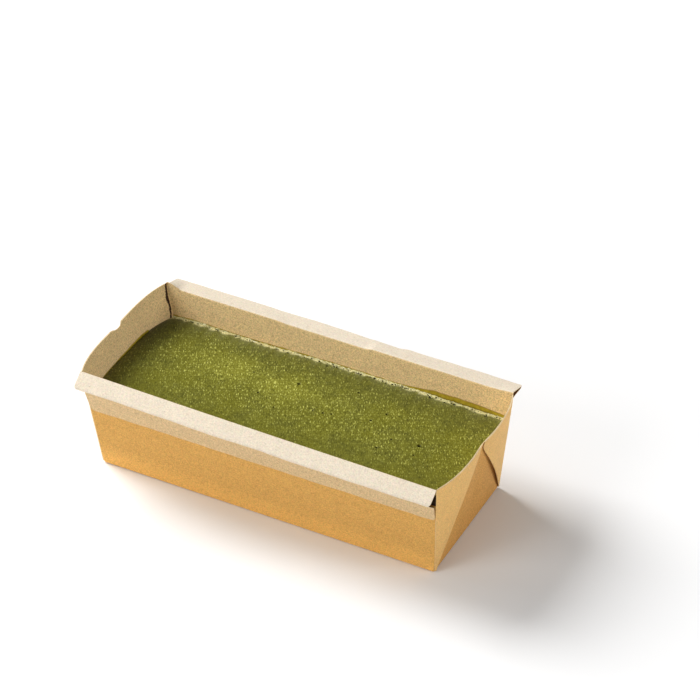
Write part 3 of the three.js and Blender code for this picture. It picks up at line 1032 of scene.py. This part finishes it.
def terrine_sides(u, v, rim, start):
    """The points and faces of the terrine's sides and bottom, below the rim of its top. The
    numbers of the new points begin at start."""
    points = []
    faces = []
    above = rim
    for z in TERRINE_SIDE_HEIGHTS:
        ring = inside_plan(z, u, v, PAPER + TERRINE_SIDE_GAP).reshape(-1, 2)[rim]
        points.append(at_height(*ring.T, z))
        below = list(range(start, start + len(rim)))
        faces += band_faces(above, below)
        above = below
        start += len(rim)
    faces.append(tuple(above[::-1]))
    return points, faces


def make_terrine(matcha, pore):
    """The terrine: its bubbled top in fine detail, and plain sides and bottom."""
    u = graded_steps(TOP_LENGTH, *TOP_STEPS)
    v = graded_steps(TOP_WIDTH, *TOP_STEPS)
    plan = inside_plan(TERRINE_TOP, u, v, PAPER - TERRINE_OVERLAP)
    rows, columns = plan.shape[:2]
    plan, faces = refine_near(plan.reshape(-1, 2), grid_faces(rows, columns), all_pores())
    layers = terrine_top(*plan.T)
    z = layers.pop("z")
    # Faces in a pore or in the back left corner take the pore's painted shade.
    slots = [int(np.mean(layers["pores"][list(face)]) > 0.5) for face in faces]
    side_points, side_faces = terrine_sides(u, v, grid_rim(rows, columns), len(plan))
    slots += [0] * len(side_faces)
    points = np.concatenate([np.column_stack([plan, z]), *side_points])
    piece = new_piece("terrine_body", points, faces + side_faces, [matcha, pore], slots, 60)
    for name, values in layers.items():
        add_layer(piece, name, np.pad(values, (0, len(points) - len(plan))))
    return piece


def film_place(side, along, z):
    """Places on the back wall's or an end's outside, and the direction into the case."""
    if side == "back":
        return np.stack([along, wall_y(side, along, z), z], axis=-1), np.array([0, -1, 0])
    front_y, back_y = corner("front_" + side, z)[1], corner("back_" + side, z)[1]
    x = end_point(side, (along - front_y) / (back_y - front_y), z)[0]
    return np.stack([x, along, z], axis=-1), np.array([-OUTWARDS[side], 0, 0])


def make_oil_film(side, oil):
    """A thin film of oil and matcha on the inside of one of the case's sides."""
    start, stop = (OIL_FILMS[side][i][0] * MM for i in (0, -1))
    along = np.linspace(start, stop, int((stop - start) / OIL_STEP))
    high = between(OIL_FILMS[side], along) + waves(at_height(along, 0 * along, 0), OIL_WAVES)
    low = between(EDGE_HEIGHTS[side], along) - OIL_UNDER_TOP
    rise = np.linspace(0, 1, OIL_ROWS)[:, None]
    z = lerp(low, high, rise)
    place, inwards = film_place(side, np.broadcast_to(along, z.shape), z)
    out = buckle(place)[..., None]
    place = place + inwards * (PAPER + OIL_STAND_OFF - out)
    thickness = OIL_THICKNESS * np.sqrt(np.clip(1 - rise**4, 0.02, 1))
    piece = sheet_piece("oil_" + side, place, thickness[..., None], [oil, oil, oil], inwards)
    add_layer(piece, "rise", np.tile(np.repeat(rise, z.shape[1]), 2))
    return piece


def bubble_shape():
    """The points and faces of the upper half of a small ball of radius 1."""
    tilt = np.linspace(0, math.pi / 2, BUBBLE_RINGS + 1)[:, None]
    turn = np.linspace(0, 2 * math.pi, BUBBLE_SIDES, endpoint=False)[None, :]
    x = np.sin(tilt) * np.cos(turn)
    y = np.sin(tilt) * np.sin(turn)
    points = np.stack([x, y, np.cos(tilt) + 0 * turn], axis=-1).reshape(-1, 3)
    return points, grid_faces(BUBBLE_RINGS + 1, BUBBLE_SIDES, closed=True)


def make_froth(froth):
    """Small bubbles that dried on the terrine along the back wall, as one mesh."""
    dice = np.random.default_rng(FROTH_SEED)
    x = lerp(*FROTH_SPAN, dice.uniform(0, 1, FROTH_COUNT) ** FROTH_CROWDING) * MM
    gap = (0.1 + np.abs(dice.normal(0, FROTH_GAP, FROTH_COUNT))) * MM
    radius = dice.uniform(*FROTH_RADIUS, FROTH_COUNT) * MM
    patches = waves(at_height(x, 0 * x, 0), FROTH_PATCHES)
    kept = patches > dice.uniform(*FROTH_CHANCE, FROTH_COUNT)
    y = back_face(x) - gap
    z = terrine_top(x, y)["z"]
    ball, ball_faces = bubble_shape()
    points = []
    faces = []
    for place, size in zip(np.column_stack([x, y, z])[kept], radius[kept]):
        start = len(points) * len(ball)
        points.append(ball * size + place)
        faces += [tuple(start + k for k in face) for face in ball_faces]
    piece = new_piece("froth", np.concatenate(points), faces, [froth], None, 80)
    return piece


# ------ materials

# The kraft paper's tones: its colour, its fibres' colour, and how strong its clouds and its
# grain are.
PAPERS = {
    "outside": (srgb(203, 155, 81), srgb(174, 124, 56), 0.06, 0.5),
    "panel": (srgb(209, 155, 81), srgb(178, 126, 57), 0.09, 0.6),
    # Painted light: the gussets' paper is a paler copy of the panel's, for the light falling on
    # them.
    "gusset": (srgb(232, 187, 116), srgb(206, 156, 86), 0.08, 0.36),
    "inside": (srgb(234, 205, 152), srgb(176, 142, 98), 0.07, 0.66),
    # Painted sheen: the strip is the inner paper made paler and greyer for the light on the cuff's
    # top.
    "strip": (srgb(221, 208, 187), srgb(192, 170, 140), 0.05, 0.28),
    # Painted shade: the flap is the inner paper darkened for the shade under the strip.
    "flap": (srgb(203, 175, 131), srgb(152, 118, 78), 0.07, 0.56),
    "edge": (srgb(222, 198, 156), srgb(196, 166, 120), 0.06, 0.3),
    # Painted shade: this paper and the next are darkened for the shade in the folds and slits.
    "fold": (srgb(62, 40, 22), srgb(40, 26, 14), 0.1, 0.4),
    "hollow_shade": (srgb(132, 84, 48), srgb(96, 58, 32), 0.1, 0.4),
}
PAPER_TINT = 0.08
PAPER_FIBRES = 0.45
FIBRE_BAND = (0.6, 0.76)
# Painted light thrown up from the floor: how much paler the outside is at its foot.
PAINTED_FOOT_LIGHT = 0.3
PAINTED_FOOT_LIGHT_REACH = 14 * MM


class Nodes:
    """One material and its nodes. Most methods add nodes and return an output of theirs. An
    input is a fixed value or another node's output."""

    def __init__(self, name):
        self.material = bpy.data.materials.new(name)
        self.material.use_nodes = True
        self.tree = self.material.node_tree

    def fill(self, node, inputs):
        for key, value in inputs.items():
            if isinstance(value, bpy.types.NodeSocket):
                self.tree.links.new(value, node.inputs[key])
            else:
                node.inputs[key].default_value = value

    def add(self, kind, output, inputs, **settings):
        node = self.tree.nodes.new(kind)
        for name, value in settings.items():
            setattr(node, name, value)
        self.fill(node, inputs)
        return node.outputs[output]

    def finish(self, colour, roughness, specular=0.5, **more):
        """Sets up the shader and returns the material."""
        inputs = {"Base Color": colour, "Roughness": roughness, "Specular IOR Level": specular}
        self.fill(self.tree.nodes["Principled BSDF"], inputs | more)
        return self.material

    def place(self, stretch=(1, 1, 1), turn=0):
        """The object's own coordinates in metres, for a pattern stretched along its axes and
        turned about the upright."""
        own = self.add("ShaderNodeTexCoord", "Object", {})
        inputs = {"Vector": own, "Scale": stretch, "Rotation": (0, 0, turn)}
        return self.add("ShaderNodeMapping", "Vector", inputs, vector_type="TEXTURE")

    def noise(self, place, size, detail=2, roughness=0.5, output="Fac"):
        inputs = {"Vector": place, "Scale": 1 / size, "Detail": detail, "Roughness": roughness}
        return self.add("ShaderNodeTexNoise", output, inputs)

    def mask(self, value, low, high):
        """A value that goes smoothly from 0 to 1 as another goes from low to high."""
        inputs = {"Value": value, "From Min": low, "From Max": high}
        return self.add("ShaderNodeMapRange", "Result", inputs, interpolation_type="SMOOTHSTEP")

    def math(self, operation, a, b):
        return self.add("ShaderNodeMath", "Value", {0: a, 1: b}, operation=operation)

    def times(self, a, b):
        return self.math("MULTIPLY", a, b)

    def plus(self, a, b):
        return self.math("ADD", a, b)

    def vectors(self, operation, *values):
        inputs = dict(enumerate(values))
        return self.add("ShaderNodeVectorMath", "Vector", inputs, operation=operation)

    def cover(self, tone, *layers):
        """A colour under layers, each with its amount and its colour."""
        for amount, colour in layers:
            inputs = {0: amount, 6: tone, 7: colour}
            tone = self.add("ShaderNodeMix", 2, inputs, data_type="RGBA")
        return tone

    def vary(self, tone, pattern, amount):
        """A colour made lighter and darker by a pattern of values about one half."""
        gain = self.vectors("MULTIPLY_ADD", pattern, (2 * amount,) * 3, (1 - amount,) * 3)
        return self.vectors("MULTIPLY", gain, tone)

    def bump(self, height, distance, **more):
        inputs = {"Height": height, "Distance": distance} | more
        return self.add("ShaderNodeBump", "Normal", inputs)

    def attribute(self, name):
        return self.add("ShaderNodeAttribute", "Fac", {}, attribute_name=name)


def painted_foot_light(nodes):
    """Painted light thrown up from the floor: one at the object's foot, falling to one half a
    little way up.
    """
    own = nodes.add("ShaderNodeTexCoord", "Object", {})
    z = nodes.add("ShaderNodeSeparateXYZ", "Z", {"Vector": own})
    return nodes.plus(nodes.times(nodes.mask(z, PAINTED_FOOT_LIGHT_REACH, 0), 0.5), 0.5)


def paper_material(part, colour, fibre, cloud, grain):
    """Kraft paper: cloudy pulp of slightly mixed hues with a fine grain and short fibres."""
    nodes = Nodes("kraft_" + part)
    place = nodes.place()
    pulp = nodes.noise(place, 0.62 * MM, 2, 0.6)
    along = nodes.noise(nodes.place((4, 1, 1)), 0.42 * MM, 1)
    upright = nodes.noise(nodes.place((1, 1, 4)), 0.42 * MM, 1)
    fibres = nodes.plus(*(nodes.mask(lines, *FIBRE_BAND) for lines in (along, upright)))
    tone = nodes.cover(colour, (nodes.times(fibres, PAPER_FIBRES), fibre))
    tone = nodes.vary(tone, nodes.noise(place, 7 * MM, 3, 0.6), cloud)
    tone = nodes.vary(tone, pulp, grain)
    # Painted light: the outside grows paler towards its foot.
    if part == "outside":
        tone = nodes.vary(tone, painted_foot_light(nodes), PAINTED_FOOT_LIGHT)
    tone = nodes.vary(tone, nodes.noise(place, 1.2 * MM, output="Color"), PAPER_TINT)
    normal = nodes.bump(nodes.plus(along, pulp), 0.03 * MM, Strength=0.6)
    return nodes.finish(tone, 0.72, 0.25, Normal=normal)


def warped_place(nodes):
    """The fleck pattern's coordinates, pushed about at random so that it comes out uneven."""
    place = nodes.place(GRAIN_STRETCH, GRAIN_TURN)
    push = nodes.noise(place, 0.7 * MM, 1, output="Color")
    return nodes.vectors("MULTIPLY_ADD", push, (0.6 * MM,) * 3, place)


def flecks(nodes, place, size, radius, rarity):
    """Flecks, partly painted glints, scattered at random in plan, each of its own strength, 0
    outside its radius.
    """
    inputs = {"Vector": place, "Scale": 1 / size}
    away = nodes.add("ShaderNodeTexVoronoi", "Distance", inputs, voronoi_dimensions="2D")
    chance = nodes.mask(away.node.outputs["Color"], rarity, 0.9)
    return nodes.times(nodes.mask(away, radius / size, 0), chance)


def matcha_ground(nodes, place, fine):
    """The custard's mottled green without its flecks, made lighter where bubbles and painted
    glints are densest.
    """
    patchy = nodes.noise(place, 3.4 * MM, 3, 0.6)
    broad = nodes.noise(place, 16 * MM, 3, 0.55)
    return nodes.cover(
        MATCHA_DEEP,
        (nodes.mask(patchy, 0.36, 0.64), MATCHA),
        (nodes.mask(broad, 0.4, 0.68), MATCHA_WARM),
        (nodes.mask(nodes.attribute("fizz_and_glints"), 0.72, 1.2), MATCHA_LIGHT),
        (nodes.mask(fine, 0.5, 0.28), MATCHA_DARK),
    )


def matcha_material():
    """Set matcha custard: satin, finely bubbled, with pale flecks that are partly painted glints,
    pores painted dark for their shade, froth with a painted sheen, and painted shade along the
    left end and the back wall.
    """
    nodes = Nodes("matcha")
    place = nodes.place()
    grain = warped_place(nodes)
    fine = nodes.noise(grain, 0.5 * MM, 3, 0.7)
    foam_and_sheen = nodes.attribute("foam_and_sheen")
    fizz_and_glints = nodes.times(nodes.attribute("fizz_and_glints"), nodes.math("SUBTRACT", 1, foam_and_sheen))
    # Pale mottle and flecks, partly painted glints, where bubbles are dense.
    pale = nodes.times(nodes.mask(fine, 0.5, 0.74), fizz_and_glints)
    tone = nodes.cover(matcha_ground(nodes, place, fine), (pale, MATCHA_PALE))
    relief = fine
    for size, radius, rarity, strength in MATCHA_FLECK_GLINTS:
        shown = nodes.times(flecks(nodes, grain, size, radius, rarity), fizz_and_glints)
        tone = nodes.cover(tone, (nodes.times(shown, strength), MATCHA_FLECK_GLINT))
        relief = nodes.plus(relief, nodes.times(shown, 0.9))
    froth = nodes.mask(nodes.noise(place, 0.5 * MM, 2, 0.6), 0.34, 0.6)
    thick = nodes.mask(foam_and_sheen, 0.28, 0.62)
    tone = nodes.cover(
        tone,
        # Painted shade along the left end and the back wall.
        (nodes.attribute("painted_shade"), MATCHA_SHADE),
        # Froth along the back wall, with a painted reflection and a painted highlight.
        (nodes.times(foam_and_sheen, nodes.plus(froth, 0.4)), MATCHA_REFLECTION),
        (nodes.times(thick, nodes.plus(froth, 0.5)), MATCHA_FOAM_HIGHLIGHT),
        # Pores and the back left corner, painted dark for their shade.
        (nodes.attribute("pores"), MATCHA_PORE_SHADE),
    )
    rippled = nodes.bump(nodes.noise(place, 1.6 * MM), 0.05 * MM)
    return nodes.finish(tone, 0.3, 0.16, Normal=nodes.bump(relief, 0.06 * MM, Normal=rippled))


def pore_shade_material():
    """The inside of a pore, painted nearly black for the shade in it, with no gloss."""
    nodes = Nodes("matcha_pore_shade")
    mottle = nodes.noise(nodes.place(), 0.4 * MM)
    return nodes.finish(nodes.cover(MATCHA_PORE_SHADE, (mottle, MATCHA_SHADE)), 1, 0)


def clouded(nodes, size, dark, light):
    """Clouds of two colours."""
    clouds = nodes.noise(nodes.place(), size, 2, 0.6)
    return nodes.cover(dark, (nodes.mask(clouds, 0.35, 0.65), light))


def oil_material():
    """Matcha oil soaked into the paper: gold, darker at its foot and browner at its top."""
    nodes = Nodes("matcha_oil")
    rise = nodes.attribute("rise")
    tone = nodes.cover(
        clouded(nodes, 1.6 * MM, srgb(160, 139, 20), srgb(186, 163, 40)),
        (nodes.mask(rise, 0.55, 0.3), srgb(122, 106, 8)),
        (nodes.mask(rise, 0.8, 1.0), srgb(168, 134, 62)),
    )
    return nodes.finish(tone, 0.35)


def froth_material():
    nodes = Nodes("matcha_froth")
    return nodes.finish(clouded(nodes, 1.2 * MM, srgb(186, 182, 116), srgb(250, 246, 200)), 0.18)


# ------ floor and light

FLOOR_REACH = 3
FLOOR_GAP = 0.2 * MM
FLOOR_MOTTLE = 0.2
WORLD_STRENGTH = 0.19
LIGHT_DISTANCE = 3
# The soft lights: the direction to each, its size and its power.
LIGHTS = {
    "window_low": ((-1, 0, 0.45), 1.5, 24),
    "window_high": ((-0.9, 0.2, 0.75), 1.6, 98),
    "front_fill": ((-0.5, -0.7, 0.5), 1.5, 24),
    "front_low": ((-0.35, -0.92, 0.2), 1.8, 27),
    "right_fill": ((0.9, 0.1, 0.35), 1.5, 30),
}


def make_floor():
    """A plain pale floor, just under the case so that the two don't touch."""
    mesh = bpy.data.meshes.new("floor")
    signs = ((-1, -1), (1, -1), (1, 1), (-1, 1))
    mesh.from_pydata([(x * FLOOR_REACH, y * FLOOR_REACH, 0) for x, y in signs], [], [range(4)])
    nodes = Nodes("pale_floor")
    mottle = nodes.noise(nodes.place(), FLOOR_MOTTLE)
    tone = nodes.cover((0.9, 0.9, 0.9, 1), (mottle, (0.93, 0.93, 0.93, 1)))
    mesh.materials.append(nodes.finish(tone, 0.8, 0))
    floor = bpy.data.objects.new("floor", mesh)
    bpy.context.scene.collection.objects.link(floor)
    floor.location.z = -FLOOR_GAP


def add_light(name, direction, size, power):
    data = bpy.data.lights.new(name, "AREA")
    data.shape = "DISK"
    data.size = size
    data.energy = power
    light = bpy.data.objects.new(name, data)
    bpy.context.scene.collection.objects.link(light)
    direction = Vector(direction).normalized()
    light.location = direction * LIGHT_DISTANCE
    light.rotation_euler = direction.to_track_quat("Z", "Y").to_euler()


def make_lights():
    world = bpy.data.worlds.new("studio")
    world.use_nodes = True
    background = world.node_tree.nodes["Background"]
    background.inputs["Color"].default_value = (1, 1, 1, 1)
    background.inputs["Strength"].default_value = WORLD_STRENGTH
    bpy.context.scene.world = world
    for name, light in LIGHTS.items():
        add_light(name, *light)
    bpy.context.scene.view_settings.view_transform = "Standard"


# ------ the scene

make_camera()
papers = {part: paper_material(part, *tones) for part, tones in PAPERS.items()}
case = [make_tray(papers)]
case += [make_cuff(wall, papers) for wall in CUFFS]
case += [make_gusset(name, papers) for name in GUSSET_EDGES]
for piece in case:
    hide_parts("paper_case")
oil = oil_material()
filling = [make_terrine(matcha_material(), pore_shade_material()), make_froth(froth_material())]
filling += [make_oil_film(side, oil) for side in OIL_FILMS]
for piece in filling:
    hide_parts("terrine")
make_floor()
make_lights()
